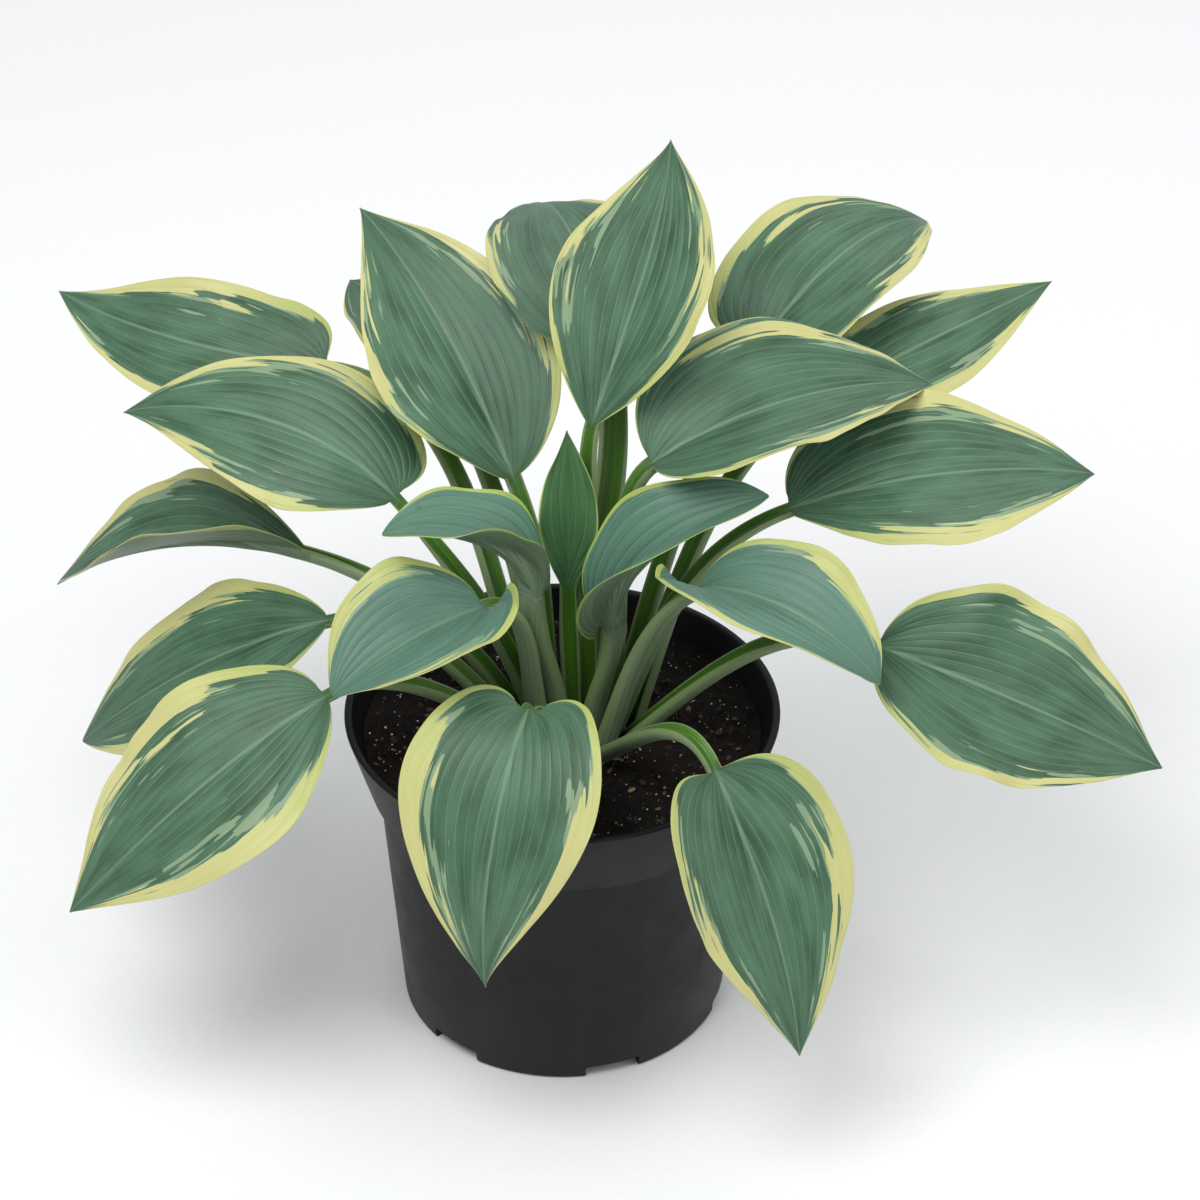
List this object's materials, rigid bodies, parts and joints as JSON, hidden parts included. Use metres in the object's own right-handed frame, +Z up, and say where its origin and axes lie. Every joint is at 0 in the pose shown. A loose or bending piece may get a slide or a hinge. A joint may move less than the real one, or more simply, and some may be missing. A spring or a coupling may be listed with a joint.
{
  "type": "potted hosta plant",
  "caption": "Variegated hosta: a clump of broad ribbed leaves on grooved stalks, growing in soil in a flared round nursery pot.",
  "frame": {"origin": "on the pot's axis, at the underside of its base, on the surface that the pot stands on", "axes": "+Z up along the pot's axis; -Y towards the front of the plant, where the lowest leaves hang over the rim; +X to its right"},
  "size_m": [0.4792, 0.3291, 0.3651],
  "materials": {
    "pot_plastic": "satin",
    "potting_mix": "matte",
    "leaf": "satin"
  },
  "bodies": {
    "root": {"pot": "pot_plastic", "soil": "potting_mix", "leaf_01": "leaf", "leaf_02": "leaf", "leaf_03": "leaf", "leaf_04": "leaf", "leaf_05": "leaf", "leaf_06": "leaf", "leaf_07": "leaf", "leaf_08": "leaf", "leaf_09": "leaf", "leaf_10": "leaf", "leaf_11": "leaf", "leaf_12": "leaf", "leaf_13": "leaf", "leaf_14": "leaf", "leaf_15": "leaf", "leaf_16": "leaf", "leaf_17": "leaf", "leaf_18": "leaf", "leaf_19": "leaf", "leaf_20": "leaf", "leaf_21": "leaf"}
  },
  "joints": []
}
